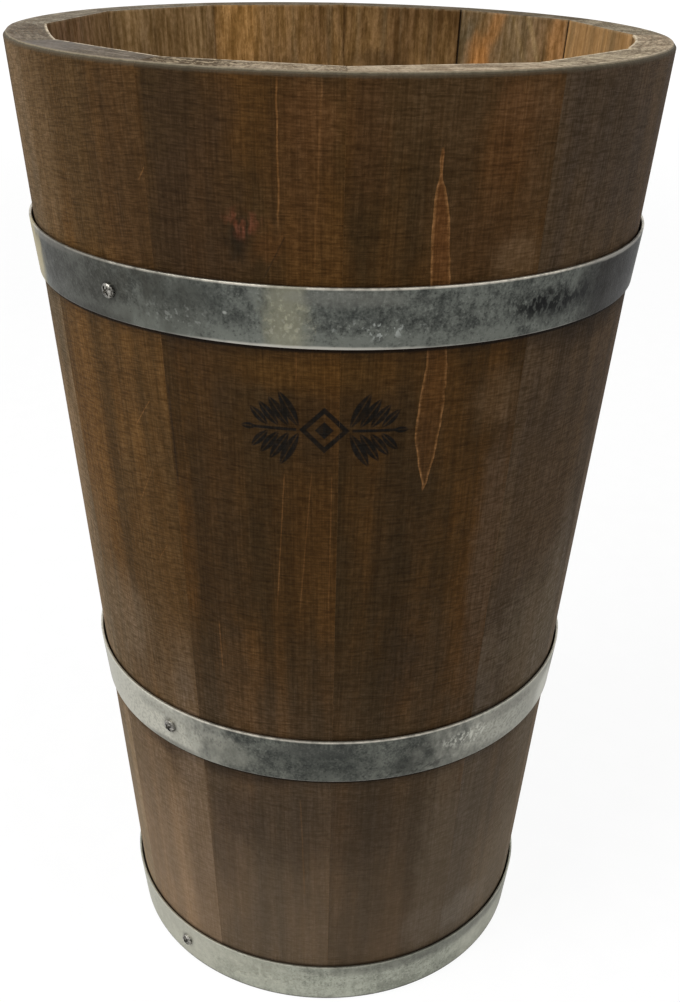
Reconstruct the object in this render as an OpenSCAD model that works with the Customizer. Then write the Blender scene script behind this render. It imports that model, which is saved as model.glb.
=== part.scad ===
// Wooden barrel planter: a tapered tub of twelve staves, a boarded head and three steel hoops.
// It stands on the XY plane, centred on the Z axis, with its front toward -Y.
// Angles round the tub are counted from the front, to the right.

/* [Staves] */
// Height of the tub, which is the length of the staves
tub_h = 574; // [440:1:700]
// Outer radius of the wood at the rim
rim_r = 175; // [150:0.5:205]
// Outer radius of the wood at the floor
foot_r = 129; // [110:0.5:150]
// Thickness of the planks that the staves are cut from
stave_t = 24; // [20:0.5:30]
// Bevel round the outside of the rim
rim_bevel = 2; // [0.5:0.1:5]
// Angle of the joint at the left end of the first stave
first_joint = -30; // [-45:0.5:45]

/* [Head] */
// Height of the head's underside above the floor
head_z = 22; // [10:1:60]
// Thickness of the head boards
head_t = 16; // [13:0.5:22]
// Width of the middle head board
mid_board_w = 78; // [60:1:110]
// Thickness of the tongue round the head's edge
tongue_t = 8; // [5:0.5:10]
// Width of the bevels between the tongue and the full thickness
head_bevel = 12; // [5:0.5:25]
// Depth of the croze, the groove for the tongue, at the middle of a stave
croze_depth = 8; // [6:0.5:11]
// Diameter of the drain hole
drain_d = 20; // [10:1:40]

/* [Head dowels] */
// Diameter of the dowels between the head boards
dowel_d = 6; // [4:0.5:8]
// Length of a dowel
dowel_l = 30; // [20:1:44]
// Distance between the two dowels of a joint
dowel_spacing = 90; // [50:1:120]

/* [Hoops] */
// Width of the hoop strip
hoop_w = 30; // [20:0.5:40]
// Thickness of the hoop strip
hoop_t = 1.5; // [0.8:0.1:3]
// Distance from the rim down to the top hoop
top_hoop_drop = 92; // [60:1:130]
// Height of the middle hoop's lower edge
middle_hoop_z = 187.5; // [120:0.5:250]
// Height of the bottom hoop's lower edge
bottom_hoop_z = 0.5; // [0.5:0.5:20]
// Length of the lap where a hoop's ends overlap
lap_l = 46; // [40:1:80]
// Angle round to the middle of the top hoop's lap
top_lap_angle = 171; // [160:1:220]
// Angle round to the middle of the middle hoop's lap
middle_lap_angle = 183; // [160:1:220]
// Angle round to the middle of the bottom hoop's lap
bottom_lap_angle = 176; // [170:1:210]

/* [Rivets] */
// Diameter of a rivet's shank
rivet_d = 5; // [3:0.5:6]
// Diameter of a rivet's head
rivet_head_d = 9; // [7:0.5:12]
// Height of a rivet's head
rivet_head_h = 2.4; // [1.5:0.1:3.5]
// Distance between a lap's two rivets
rivet_spacing = 24; // [14:1:28]

/* [Screws] */
// Number of screws through each hoop
screws_per_hoop = 2; // [1:1:3]
// Angle round to the top hoop's first screw
top_screw_angle = -40; // [-55:0.5:-35]
// Angle round to the middle hoop's first screw
middle_screw_angle = -38.5; // [-55:0.5:-35]
// Angle round to the bottom hoop's first screw
bottom_screw_angle = -43; // [-55:0.5:-35]
// Diameter of a screw's shank
screw_d = 4; // [3:0.5:5]
// Length of a screw under its head
screw_l = 18; // [12:0.5:19]
// Length of a screw's point
point_l = 4; // [2:0.5:6]
// Diameter of a screw's head
screw_head_d = 8; // [6.5:0.5:11]
// Height of a screw's head
screw_head_h = 2.6; // [2:0.1:4]
// Length of the cross recess in a screw's head
recess_l = 4.4; // [3:0.1:6]
// Width of the cross recess
recess_w = 1; // [0.5:0.1:1.5]
// Depth of the cross recess
recess_depth = 1.2; // [0.5:0.1:1.5]

/* [Clearances] */
// Gap between the head's tongue and the bottom of the croze
head_play = 0.3; // [0.1:0.1:1]
// Gap over the tongue, in the croze
croze_play = 0.3; // [0.1:0.1:1]
// Gap at each end of a dowel
dowel_play = 1; // [0.5:0.1:3]
// Gap round a screw's shank, in the hoop
screw_play = 0.2; // [0.1:0.1:0.5]

/* [Hidden] */
$fn = 120;

// Share of the ring that each stave takes, going right from the first joint: the planks differ in width
stave_share = [31, 33, 32, 24, 30, 31, 28, 32, 30, 31, 28, 30];
staves = len(stave_share);
function share_before(i) = i == 0 ? 0 : stave_share[i - 1] + share_before(i - 1);
function joint_angle(i) = first_joint + 360 * share_before(i) / share_before(staves);

// The wall leans out, and stays one plank thick
taper = (rim_r - foot_r) / tub_h;
lean = atan(taper);
wall_run = stave_t / cos(lean);
function wood_r(z) = foot_r + taper * z;
function flat_r(z) = wood_r(z) - wall_run;

// The head sits in the croze, which takes its size from the wall at that height
tongue_z = head_z + (head_t - tongue_t) / 2;
croze_r = flat_r(tongue_z + tongue_t / 2) + croze_depth;
head_r = croze_r - head_play;
tongue_root_r = flat_r(head_z) - head_play;
head_flat_r = tongue_root_r - head_bevel;

// Each hoop is its lower edge's height, its first screw's angle and its lap's angle
hoop_run = hoop_t / cos(lean);
top_hoop = [tub_h - top_hoop_drop - hoop_w, top_screw_angle, top_lap_angle];
middle_hoop = [middle_hoop_z, middle_screw_angle, middle_lap_angle];
bottom_hoop = [bottom_hoop_z, bottom_screw_angle, bottom_lap_angle];
hoops = [top_hoop, middle_hoop, bottom_hoop];
function arc_angle(length, r) = length / r * 180 / PI;

wood_tones = ["#4f3826", "#5b422c", "#463122", "#543b27"];
overlap = 1; // how far a cutting shape runs past what it cuts

// Turns children that are drawn along +X to face an angle round the tub
module facing(angle) {
    rotate([0, 0, angle - 90]) children();
}

// Stands children, whose +Z points away from the wood, on the wall's outer face
module on_wall(z, angle) {
    facing(angle) translate([wood_r(z), 0, z]) rotate([0, 90 + lean, 0]) children();
}

// Places children at each screw of a hoop, on the outer face of the strip
module at_screws(hoop) {
    for (k = [0 : screws_per_hoop - 1])
        on_wall(hoop[0] + hoop_w / 2, hoop[1] + 360 * k / screws_per_hoop)
            translate([0, 0, hoop_t]) children();
}

// Places children at each rivet of a hoop, on the wood under the lap
module at_rivets(hoop) {
    z = hoop[0] + hoop_w / 2;
    for (side = [-1, 1])
        on_wall(z, hoop[2] + side * arc_angle(rivet_spacing / 2, wood_r(z))) children();
}

// ---- Staves ----

// The tub as one solid block, with the bevel round its rim
module tub_block() {
    rotate_extrude()
        polygon([
            [0, 0],
            [foot_r, 0],
            [wood_r(tub_h - rim_bevel), tub_h - rim_bevel],
            [rim_r - rim_bevel, tub_h],
            [0, tub_h]
        ]);
}

// The sector between a stave's two joint faces, drawn along +X
module sector(span) {
    reach = 1.5 * rim_r;
    translate([0, 0, -overlap])
        linear_extrude(tub_h + 2 * overlap)
            polygon([
                [0, 0],
                reach * [cos(span / 2), -sin(span / 2)],
                reach * [cos(span / 2), sin(span / 2)]
            ]);
}

// All that lies inside a stave's flat inner face, drawn along +X
module inside_of_plank() {
    translate([flat_r(0), 0, 0])
        rotate([0, lean, 0])
            translate([-2 * rim_r, -rim_r, -tub_h])
                cube([2 * rim_r, 2 * rim_r, 3 * tub_h]);
}

// The groove that holds the head
module croze() {
    translate([0, 0, tongue_z]) cylinder(r = croze_r, h = tongue_t + croze_play);
}

// A stave: flat inside, round outside, with radial joint faces, the croze and the screws' holes
module stave(i) {
    from = joint_angle(i);
    to = joint_angle(i + 1);
    color(wood_tones[i % len(wood_tones)])
        difference() {
            intersection() {
                tub_block();
                facing((from + to) / 2) sector(to - from);
            }
            facing((from + to) / 2) inside_of_plank();
            croze();
            for (hoop = hoops) at_screws(hoop) screw_shank();
        }
}

// ---- Head ----

// The whole head: a disc with a tongue round its edge and a bevel on both faces
module head_disc() {
    rotate_extrude()
        polygon([
            [0, head_z],
            [head_flat_r, head_z],
            [tongue_root_r, tongue_z],
            [head_r, tongue_z],
            [head_r, tongue_z + tongue_t],
            [tongue_root_r, tongue_z + tongue_t],
            [head_flat_r, head_z + head_t],
            [0, head_z + head_t]
        ]);
}

// Places children, drawn along Z, at each dowel across the head's two joints
module at_dowels() {
    for (x = [-1, 1], y = [-1, 1])
        translate([x * dowel_spacing / 2, y * mid_board_w / 2, head_z + head_t / 2])
            rotate([90, 0, 0]) children();
}

// One board of the head, from one y to another, with its dowel holes
module head_board(y_from, y_to) {
    color("#6b4d33")
        difference() {
            intersection() {
                head_disc();
                translate([-rim_r, y_from, 0]) cube([2 * rim_r, y_to - y_from, tub_h]);
            }
            at_dowels() cylinder(d = dowel_d, h = dowel_l + 2 * dowel_play, center = true);
            translate([0, 0, head_z - overlap]) cylinder(d = drain_d, h = head_t + 2 * overlap);
        }
}

module head_dowels() {
    color("#b08a5c") at_dowels() cylinder(d = dowel_d, h = dowel_l, center = true);
}

// ---- Hoops ----

// Strip round the wall, over an angle, between two depths that are counted in thicknesses of strip
module strip(z, from, to, angle) {
    low = wood_r(z);
    high = wood_r(z + hoop_w);
    rotate_extrude(angle = angle)
        polygon([
            [low + from * hoop_run, z],
            [low + to * hoop_run, z],
            [high + to * hoop_run, z + hoop_w],
            [high + from * hoop_run, z + hoop_w]
        ]);
}

// A hoop: a strip whose ends overlap in a riveted lap, with the holes of its rivets and screws.
// The lap's outer end is joined to the strip below it, from half the strip's thickness out.
module hoop(spec) {
    z = spec[0];
    lap = arc_angle(lap_l, wood_r(z + hoop_w / 2));
    color("#7d8488")
        difference() {
            union() {
                strip(z, 0, 1, 360);
                facing(spec[2] - lap / 2) strip(z, 0.5, 2, lap);
            }
            at_rivets(spec) translate([0, 0, -overlap])
                cylinder(d = rivet_d, h = 2 * hoop_t + 2 * overlap);
            at_screws(spec) translate([0, 0, -hoop_t - overlap])
                cylinder(d = screw_d + 2 * screw_play, h = hoop_t + 2 * overlap);
        }
}

// A domed head of a given width and height, on the XY plane
module dome(d, h) {
    ball_r = (d * d / 4 + h * h) / (2 * h);
    intersection() {
        translate([0, 0, h - ball_r]) sphere(r = ball_r);
        cylinder(d = d, h = h);
    }
}

module hoop_rivets(spec) {
    color("#8d9498")
        at_rivets(spec) {
            cylinder(d = rivet_d, h = 2 * hoop_t);
            translate([0, 0, 2 * hoop_t]) dome(rivet_head_d, rivet_head_h);
        }
}

// The part of a screw below its head, from the strip's outer face into the wood
module screw_shank() {
    translate([0, 0, point_l - screw_l]) cylinder(d = screw_d, h = screw_l - point_l);
    translate([0, 0, -screw_l]) cylinder(d1 = screw_d / 5, d2 = screw_d, h = point_l);
}

// A pan head: a short straight edge under a dome, with a cross recess
module pan_head() {
    edge_h = screw_head_h / 3;
    difference() {
        union() {
            cylinder(d = screw_head_d, h = edge_h);
            translate([0, 0, edge_h]) dome(screw_head_d, screw_head_h - edge_h);
        }
        for (turn = [0, 90])
            rotate([0, 0, turn + 45])
                translate([-recess_l / 2, -recess_w / 2, screw_head_h - recess_depth])
                    cube([recess_l, recess_w, recess_depth + overlap]);
    }
}

module hoop_screws(spec) {
    color("#b4b7b8")
        at_screws(spec) {
            screw_shank();
            pan_head();
        }
}

for (i = [0 : staves - 1]) stave(i);
head_board(-rim_r, -mid_board_w / 2);  // head_board_front
head_board(-mid_board_w / 2, mid_board_w / 2);  // head_board_middle
head_board(mid_board_w / 2, rim_r);  // head_board_back
head_dowels();
hoop(top_hoop);
hoop(middle_hoop);
hoop(bottom_hoop);
hoop_rivets(top_hoop);  // top_hoop_rivets
hoop_rivets(middle_hoop);  // middle_hoop_rivets
hoop_rivets(bottom_hoop);  // bottom_hoop_rivets
hoop_screws(top_hoop);  // top_hoop_screws
hoop_screws(middle_hoop);  // middle_hoop_screws
hoop_screws(bottom_hoop);  // bottom_hoop_screws
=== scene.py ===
# A coopered barrel planter of twelve staves and three riveted hoops, dressed round its CAD frame.
# Lengths are in metres. Angles round the tub go from the front, which faces -Y, towards +X.
import math

import bmesh
import bpy
import numpy as np
from mathutils import Matrix, Vector


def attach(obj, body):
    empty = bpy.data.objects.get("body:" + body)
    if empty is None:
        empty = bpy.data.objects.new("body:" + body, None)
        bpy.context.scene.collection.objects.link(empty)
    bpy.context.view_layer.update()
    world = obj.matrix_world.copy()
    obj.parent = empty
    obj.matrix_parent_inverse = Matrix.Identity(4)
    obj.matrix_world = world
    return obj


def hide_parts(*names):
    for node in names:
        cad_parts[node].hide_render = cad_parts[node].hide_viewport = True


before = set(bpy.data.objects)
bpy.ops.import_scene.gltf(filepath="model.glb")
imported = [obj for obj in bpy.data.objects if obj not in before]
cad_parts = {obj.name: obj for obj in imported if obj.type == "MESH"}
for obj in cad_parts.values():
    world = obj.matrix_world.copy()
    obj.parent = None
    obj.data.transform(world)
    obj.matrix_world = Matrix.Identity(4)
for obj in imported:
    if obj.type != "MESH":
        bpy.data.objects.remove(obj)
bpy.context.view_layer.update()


# ---- Where the tub is seen from ----
# A hand-held camera looks down at the tub from a little above its rim, close to it and turned
# a degree or so, so the rim opens to an ellipse and the foot looks small.
camera = bpy.data.objects.new("camera", bpy.data.cameras.new("camera"))
bpy.context.collection.objects.link(camera)
bpy.context.scene.camera = camera
camera.data.sensor_width = 36
camera.data.lens = 44.401
look_down = math.radians(26.2435)
look_right = math.radians(0.4129)
tilt = math.radians(1.199)
camera_back, camera_up = 0.70265, 0.63961
camera.matrix_world = (
    Matrix.Translation((0, -camera_back, camera_up))
    @ Matrix.Rotation(-look_right, 4, "Z")
    @ Matrix.Rotation(math.pi / 2 - look_down, 4, "X")
    @ Matrix.Rotation(tilt, 4, "Z")
)


# ---- Staves ----
# Twelve softwood planks of differing widths, jointed on radial faces. Each is rounded outside,
# left flat inside, and has a groove across its foot, the croze, that the tub's floor sits in.
# They are planed, stained dark brown outside, and stay bare inside and on the rim.
tub_height = 0.574
rim_radius = 0.175
foot_radius = 0.129
taper = (rim_radius - foot_radius) / tub_height
lean = math.atan(taper)
plank_thickness = 0.024
rim_bevel = 0.002
croze_height, croze_width = 0.026, 0.0083
croze_radius = 0.11533
hoop_lower_edges = {"top_hoop": 0.452, "middle_hoop": 0.1875, "bottom_hoop": 0.0005}
strip_width = 0.030
eased_edge = 0.00012
# The planks lean, so the wall measured level is a little thicker than they are.
wall_run = plank_thickness / math.cos(lean)


def wood_radius(height):
    return foot_radius + taper * height


def srgb(red, green, blue):
    """A colour as a paint chart gives it, 0 to 255, turned into the linear values of a shader."""
    return tuple((c / 255 / 12.92) if c <= 10 else ((c / 255 + 0.055) / 1.055) ** 2.4
                 for c in (red, green, blue)) + (1.0,)


class Wire:
    """One output of a node. Plain arithmetic on it adds the Math nodes that work it out."""

    def __init__(self, socket):
        self.socket = socket

    def __add__(self, other):
        return maths("ADD", self, other)

    def __sub__(self, other):
        return maths("SUBTRACT", self, other)

    def __rsub__(self, other):
        return maths("SUBTRACT", other, self)

    def __mul__(self, other):
        return maths("MULTIPLY", self, other)

    def __truediv__(self, other):
        return maths("DIVIDE", self, other)

    def __rtruediv__(self, other):
        return maths("DIVIDE", other, self)

    def __pow__(self, other):
        return maths("POWER", self, other)

    def __neg__(self):
        return maths("MULTIPLY", self, -1.0)

    __radd__, __rmul__ = __add__, __mul__


def fill(socket, value):
    """Leads a wire to a node's input, or sets the input to a plain value."""
    if isinstance(value, Wire):
        socket.id_data.links.new(value.socket, socket)
    else:
        socket.default_value = srgb(*value) if socket.type == "RGBA" else value


def node(tree, kind, inputs=(), out=0, **settings):
    """Adds a node, fills its inputs by order or by name, and gives back one of its outputs."""
    made = tree.nodes.new(kind)
    for name, value in settings.items():
        setattr(made, name, value)
    for key, value in inputs.items() if isinstance(inputs, dict) else enumerate(inputs):
        fill(made.inputs[key], value)
    return Wire(made.outputs[out])


def tree_of(*values):
    """The tree that the first wire among these values is in."""
    return next(value.socket.id_data for value in values if isinstance(value, Wire))


def maths(operation, *values, clamp=False):
    return node(tree_of(*values), "ShaderNodeMath", values, operation=operation, use_clamp=clamp)


def vector(x, y, z):
    return node(tree_of(x, y, z), "ShaderNodeCombineXYZ", (x, y, z))


def outputs_of(wire):
    """Every output of the node that a wire comes from, by name."""
    return {socket.name: Wire(socket) for socket in wire.socket.node.outputs if socket.name}


def parts(place):
    """A vector's x, y and z."""
    return outputs_of(node(tree_of(place), "ShaderNodeSeparateXYZ", (place,))).values()


def combined(operation, place, by):
    """Two vectors added, subtracted or multiplied."""
    return node(tree_of(place), "ShaderNodeVectorMath", (place, by), operation=operation)


def ramp(value, start, end, low=0.0, high=1.0):
    """Eases from low to high as value goes from start to end."""
    return node(tree_of(value), "ShaderNodeMapRange", (value, start, end, low, high),
                interpolation_type="SMOOTHSTEP")


def noise(place, per_metre, detail=2.0, rough=0.5):
    """A cloudy pattern, with this many features to a metre, along each axis or along all three."""
    if isinstance(per_metre, (int, float)):
        per_metre = (per_metre, per_metre, per_metre)
    return node(tree_of(place), "ShaderNodeTexNoise",
                {"Vector": combined("MULTIPLY", place, per_metre), "Scale": 1.0, "Detail": detail,
                 "Roughness": rough})


def mix(share, first, second, way="MIX"):
    return node(tree_of(share, first, second), "ShaderNodeMix", {0: share, 6: first, 7: second}, out=2,
                data_type="RGBA", blend_type=way)


def node_group(name, inputs, outputs, kind="ShaderNodeTree"):
    """A node group: gives it, its inputs by name, and the call that gives its outputs their values."""
    tree = bpy.data.node_groups.new(name, kind)
    for label, value in inputs.items():
        sort = ("Material" if value is bpy.types.Material else
                "Int" if isinstance(value, int) else
                "Float" if isinstance(value, float) else
                "Vector" if isinstance(value, list) else "Color")
        socket = tree.interface.new_socket(label, in_out="INPUT", socket_type="NodeSocket" + sort)
        if sort != "Material":
            socket.default_value = srgb(*value) if sort == "Color" else value
    for label, sort in outputs.items():
        tree.interface.new_socket(label, in_out="OUTPUT", socket_type="NodeSocket" + sort)
    given = outputs_of(Wire(tree.nodes.new("NodeGroupInput").outputs[0])) if inputs else {}
    taken = tree.nodes.new("NodeGroupOutput").inputs

    def give(**values):
        for label, value in values.items():
            fill(taken[label], value)
    return tree, given, give


def use(group, tree=None, **values):
    """Places a node group, with values for its inputs by name, and gives back its outputs by name."""
    placed = (tree or tree_of(*values.values())).nodes.new("ShaderNodeGroup")
    placed.node_tree = group
    for label, value in values.items():
        fill(placed.inputs[label.replace("_", " ")], value)
    return outputs_of(Wire(placed.outputs[0]))


def swept_bar(t, section, columns):
    """A bar with this section along X, from 0 to 1, and the x, y and z of each of its points."""
    run = node(t, "GeometryNodeCurvePrimitiveLine", {"Start": (0, 0, 0), "End": (1, 0, 0)})
    run = node(t, "GeometryNodeResampleCurve", {"Curve": run, "Count": columns})
    run = node(t, "GeometryNodeSetCurveNormal", {"Curve": run}, mode="Z_UP")
    bar = node(t, "GeometryNodeCurveToMesh", {"Curve": run, "Profile Curve": section, "Fill Caps": True})
    return bar, *parts(node(t, "GeometryNodeInputPosition"))


def bent_round(t, bar, radius, angle, height):
    """Moves each point of a bar to its place round the tub."""
    bent = vector(radius * maths("SINE", angle), -(radius * maths("COSINE", angle)), height)
    return node(t, "GeometryNodeSetPosition", {"Geometry": bar, "Position": bent})


def plain_mesh(t, shape, material):
    """The end of a Geometry Nodes tree: one plain mesh of one material."""
    shape = node(t, "GeometryNodeRealizeInstances", {"Geometry": shape})
    return node(t, "GeometryNodeSetMaterial", {"Geometry": shape, "Material": material})


# The tree for one stave: its section is swept across the stave's width, bent round the tub,
# and its inner side is pressed flat.
stave_tree, given, give = node_group(
    "stave",
    {"From Angle": 0.0, "To Angle": 30.0, "Columns": 17, "Tub Height": tub_height,
     "Rim Radius": rim_radius, "Foot Radius": foot_radius, "Wall Run": wall_run,
     "Rim Bevel": rim_bevel, "Croze Height": croze_height, "Croze Width": croze_width,
     "Croze Radius": croze_radius, "Hollow": 0.0, "Wood": bpy.types.Material},
    {"Geometry": "Geometry"}, kind="GeometryNodeTree")
t = stave_tree
height, bevel = given["Tub Height"], given["Rim Bevel"]
slope = (given["Rim Radius"] - given["Foot Radius"]) / height


def outer_at(z):
    return z * slope + given["Foot Radius"]


def inner_at(z):
    return outer_at(z) - given["Wall Run"]


bevel_start = height - bevel
croze_top = given["Croze Height"] + given["Croze Width"]
section_points = [
    (given["Foot Radius"], 0.0),
    (outer_at(bevel_start), bevel_start),
    (given["Rim Radius"] - bevel, height),
    (inner_at(height), height),
    (inner_at(croze_top), croze_top),
    (given["Croze Radius"], croze_top),
    (given["Croze Radius"], given["Croze Height"]),
    (inner_at(given["Croze Height"]), given["Croze Height"]),
    (inner_at(0.0), 0.0),
]
chosen = t.nodes.new("GeometryNodeIndexSwitch")
chosen.data_type = "VECTOR"
while len(chosen.index_switch_items) < len(section_points):
    chosen.index_switch_items.new()
fill(chosen.inputs[0], node(t, "GeometryNodeInputIndex"))
for k, (radius, z) in enumerate(section_points):
    fill(chosen.inputs[k + 1], vector(radius, z, 0.0))
section = node(t, "GeometryNodeResampleCurve",
               {"Curve": node(t, "GeometryNodeCurvePrimitiveLine"), "Count": len(section_points)})
section = node(t, "GeometryNodeSetPosition", {"Geometry": section, "Position": Wire(chosen.outputs[0])})
section = node(t, "GeometryNodeSetSplineCyclic", {"Geometry": section, "Cyclic": True})
plank, across, radial, z = swept_bar(t, section, given["Columns"])
radial, z = maths("ABSOLUTE", radial), maths("ABSOLUTE", z)
span = maths("RADIANS", given["To Angle"] - given["From Angle"])
angle = across * span + maths("RADIANS", given["From Angle"])
from_middle = (across - 0.5) * span
inward = maths("DIVIDE", outer_at(z) - radial, given["Wall Run"], clamp=True)
to_flat = inner_at(z) * (1.0 / maths("COSINE", from_middle) - 1.0)
radial = inward * to_flat + radial
# A planed hollow is deepest a little past the middle of the stave, and fades towards its foot.
hollow_sweep = 0.8 * math.pi
hollowed = given["Hollow"] * maths("SINE", across * hollow_sweep) * (z / height)
radial = inward * hollowed + radial
plank = bent_round(t, plank, radial, angle, z)
give(Geometry=plain_mesh(t, plank, given["Wood"]))


# Corners that turn by more than these angles are rounded, or shaded as sharp.
rounded_corner, sharp_corner = math.radians(35), math.radians(14)
weld_distance = 1e-6


def grow(name, tree, values, round_edges=0.0):
    """Runs a Geometry Nodes tree with these inputs, rounds its edges, and keeps the plain mesh."""
    piece = bpy.data.objects.new(name, bpy.data.meshes.new(name))
    bpy.context.collection.objects.link(piece)
    grown = piece.modifiers.new("grown", "NODES")
    grown.node_group = tree
    for item in tree.interface.items_tree:
        if item.in_out == "INPUT" and item.name in values:
            grown[item.identifier] = values[item.name]
    if round_edges:
        rounded = piece.modifiers.new("rounded", "BEVEL")
        rounded.width, rounded.segments = round_edges, 2
        rounded.limit_method, rounded.angle_limit = "ANGLE", rounded_corner
    finished = piece.evaluated_get(bpy.context.evaluated_depsgraph_get())
    plain = bpy.data.meshes.new_from_object(finished)
    piece.modifiers.clear()
    piece.data = plain
    plain.name = name
    shell = bmesh.new()
    shell.from_mesh(plain)
    bmesh.ops.remove_doubles(shell, verts=shell.verts, dist=weld_distance)
    bmesh.ops.recalc_face_normals(shell, faces=shell.faces)
    shell.to_mesh(plain)
    shell.free()
    plain.shade_smooth()
    plain.set_sharp_from_angle(angle=sharp_corner)
    return piece


# What the shader groups are given: a place in a plank, whose grain runs along Y, or a place on the
# tub, as its angle from the front in degrees, its height in millimetres, and the point itself.
# Patterns are drawn in metres, and their densities are in features to a metre.
on_plank = {"Plank": [0.0, 0.0, 0.0], "Offset": [0.0, 0.0, 0.0]}
on_tub = {"Angle": 0.0, "Height": 0.0, "Point": [0.0, 0.0, 0.0]}

tub_place, given, give = node_group(
    "tub place", {}, {"Angle": "Float", "Height": "Float", "Point": "Vector"})
t = tub_place
point = node(t, "ShaderNodeTexCoord", out=3)
x, y, z = parts(point)
give(Angle=maths("DEGREES", maths("ARCTAN2", x, -y)), Height=z * 1000.0, Point=point)

# The grain of a plank sawn from a log: the yearly rings round a pith that lies outside the plank,
# streaks and fibres that run its length, and pores that show as dots on its ends. The rings
# widen towards the tree's foot like cones, which draws pointed arches on a flat face.
plank_grain, given, give = node_group(
    "plank grain",
    {**on_plank, "Pith": [0.01, 0.0, -0.05], "Ring Spacing": 0.0035, "Cone": 0.02},
    {"Rings": "Float", "Streaks": "Float", "Fibres": "Float", "Patches": "Float", "Mottle": "Float"})
spot = combined("ADD", given["Plank"], given["Offset"])
wander = noise(spot, (9, 2.2, 9), 2) - 0.5
side, up_stem, deep = parts(combined("SUBTRACT", given["Plank"], given["Pith"]))
from_pith = up_stem * given["Cone"] + maths("SQRT", side * side + deep * deep)
year = maths("FRACT", (wander * 0.022 + from_pith) / given["Ring Spacing"])
give(Rings=ramp(year, 0.35, 0.9) * ramp(year, 1.0, 0.93), Streaks=noise(spot, (85, 2.6, 85), 2.5, 0.5),
     Fibres=noise(spot, (1000, 26, 1000), 2), Patches=noise(spot, (28, 8, 28), 3, 0.55),
     Mottle=noise(spot, (480, 300, 480), 4, 0.65))

# The planer's marks: fine rows across the plank, and longer dark dashes where stain has settled.
planer_marks, given, give = node_group(
    "planer marks",
    {**on_plank, "Tilt": 0.0, "Length": 0.007, "Pitch": 0.0009}, {"Rows": "Float", "Dashes": "Float"})
t = planer_marks
side, up_stem, _ = parts(given["Plank"])
slanted = side * given["Tilt"] + up_stem
drift = combined("MULTIPLY", given["Offset"], (97, 97, 97))
for label, stretch, start, end in (("Rows", 1.0, 0.32, 0.68), ("Dashes", 2.0, 0.46, 0.32)):
    rows = vector(side / (given["Length"] * stretch), slanted / (given["Pitch"] * stretch), stretch)
    marks = node(t, "ShaderNodeTexNoise", {"Vector": combined("ADD", rows, drift),
                                           "Scale": 1.0, "Detail": 2.0})
    give(**{label: ramp(marks, start, end)})

# A soft-edged patch somewhere on the tub, such as a greasy or a golden area.
soft_spot, given, give = node_group(
    "soft spot",
    {**on_tub, "Middle": 0.0, "Level": 0.0, "Half Width": 5.0, "Half Height": 20.0, "Raggedness": 0.5},
    {"Mask": "Float"})
dx = (given["Angle"] - given["Middle"]) / given["Half Width"]
dy = (given["Height"] - given["Level"]) / given["Half Height"]
away = maths("SQRT", dx * dx + dy * dy)
ragged = noise(given["Point"], (110, 110, 60), 3, 0.6) - 0.5
away = ragged * (given["Raggedness"] * 2.0) + away
give(Mask=ramp(away, 1.15, 0.35))

# A thin line along the grain, such as the pale edge of a resin streak.
thin_line, given, give = node_group(
    "thin line",
    {**on_tub, "Top Angle": 0.0, "Top": 100.0, "Bottom Angle": 0.0, "Bottom": 0.0,
     "Half Width": 0.2, "Wobble": 0.3},
    {"Mask": "Float"})
down = (given["Top"] - given["Height"]) / (given["Top"] - given["Bottom"])
course = down * (given["Bottom Angle"] - given["Top Angle"]) + given["Top Angle"]
up_only = vector(0.0, 0.0, given["Height"] * 0.001)
sway = noise(up_only, 60, 2) - 0.5
course = sway * given["Wobble"] + course
aside = maths("ABSOLUTE", given["Angle"] - course)
core = ramp(aside / given["Half Width"], 1.0, 0.2)
ends = ramp(down, -0.01, 0.05) * ramp(down, 1.01, 0.8)
broken = ramp(noise(given["Point"], (0, 0, 140), 3, 0.7), 0.25, 0.55, 0.35, 1.0)
give(Mask=core * ends * broken)

# The stained face: two stain colours that follow the streaks, and the weave of planer's marks,
# fibres and mottle that darkens and lightens them.
stained_face, given, give = node_group(
    "stained face",
    {**on_plank, "Tilt": 0.0, "Dark": (50, 37, 24), "Warm": (84, 56, 30), "Cool": (60, 52, 42)},
    {"Color": "Color", "Flow": "Float", "Weave": "Float"})
grain = use(plank_grain, Plank=given["Plank"], Offset=given["Offset"])
marks = use(planer_marks, Plank=given["Plank"], Offset=given["Offset"], Tilt=given["Tilt"])
flow = grain["Streaks"] * 0.45 + grain["Patches"] * 0.55
colour = mix(ramp(flow, 0.38, 0.64), given["Dark"], given["Warm"])
colour = mix(ramp(grain["Patches"], 0.58, 0.38, 0.0, 0.55), colour, given["Cool"])
weave = ramp(marks["Rows"], 0.0, 1.0, 0.84, 1.2) * ramp(grain["Fibres"], 0.3, 0.7, 0.82, 1.2)
weave = weave * ramp(grain["Mottle"], 0.3, 0.7, 0.79, 1.23)
weave = weave * ramp(marks["Dashes"], 0.0, 1.0, 1.03, 0.8)
weave = weave * ramp(grain["Rings"], 0.2, 1.0, 1.0, 0.93)
give(Color=colour, Flow=ramp(flow, 0.36, 0.66), Weave=weave)

# The bare face inside: weathered brown, gold and grey, all in streaks along the plank.
bare_face, given, give = node_group(
    "bare face",
    {**on_plank, "Pith": [0.01, 0.0, -0.05], "Cone": 0.02,
     "Brown": (84, 60, 34), "Gold": (150, 112, 64), "Grey": (106, 92, 66)},
    {"Color": "Color", "Weave": "Float"})
grain = use(plank_grain, Plank=given["Plank"], Offset=given["Offset"], Pith=given["Pith"],
            Cone=given["Cone"])
spot = combined("ADD", given["Plank"], given["Offset"])
broad = noise(spot, (60, 14, 60), 3, 0.6)
narrow = noise(spot, (320, 34, 320), 4, 0.65)
colour = mix(ramp(broad, 0.34, 0.66), given["Brown"], given["Gold"])
colour = mix(ramp(grain["Streaks"], 0.5, 0.72, 0.0, 0.45), colour, given["Grey"])
colour = mix(ramp(grain["Rings"], 0.3, 1.0, 0.0, 0.14), colour, (64, 45, 25))
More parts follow.
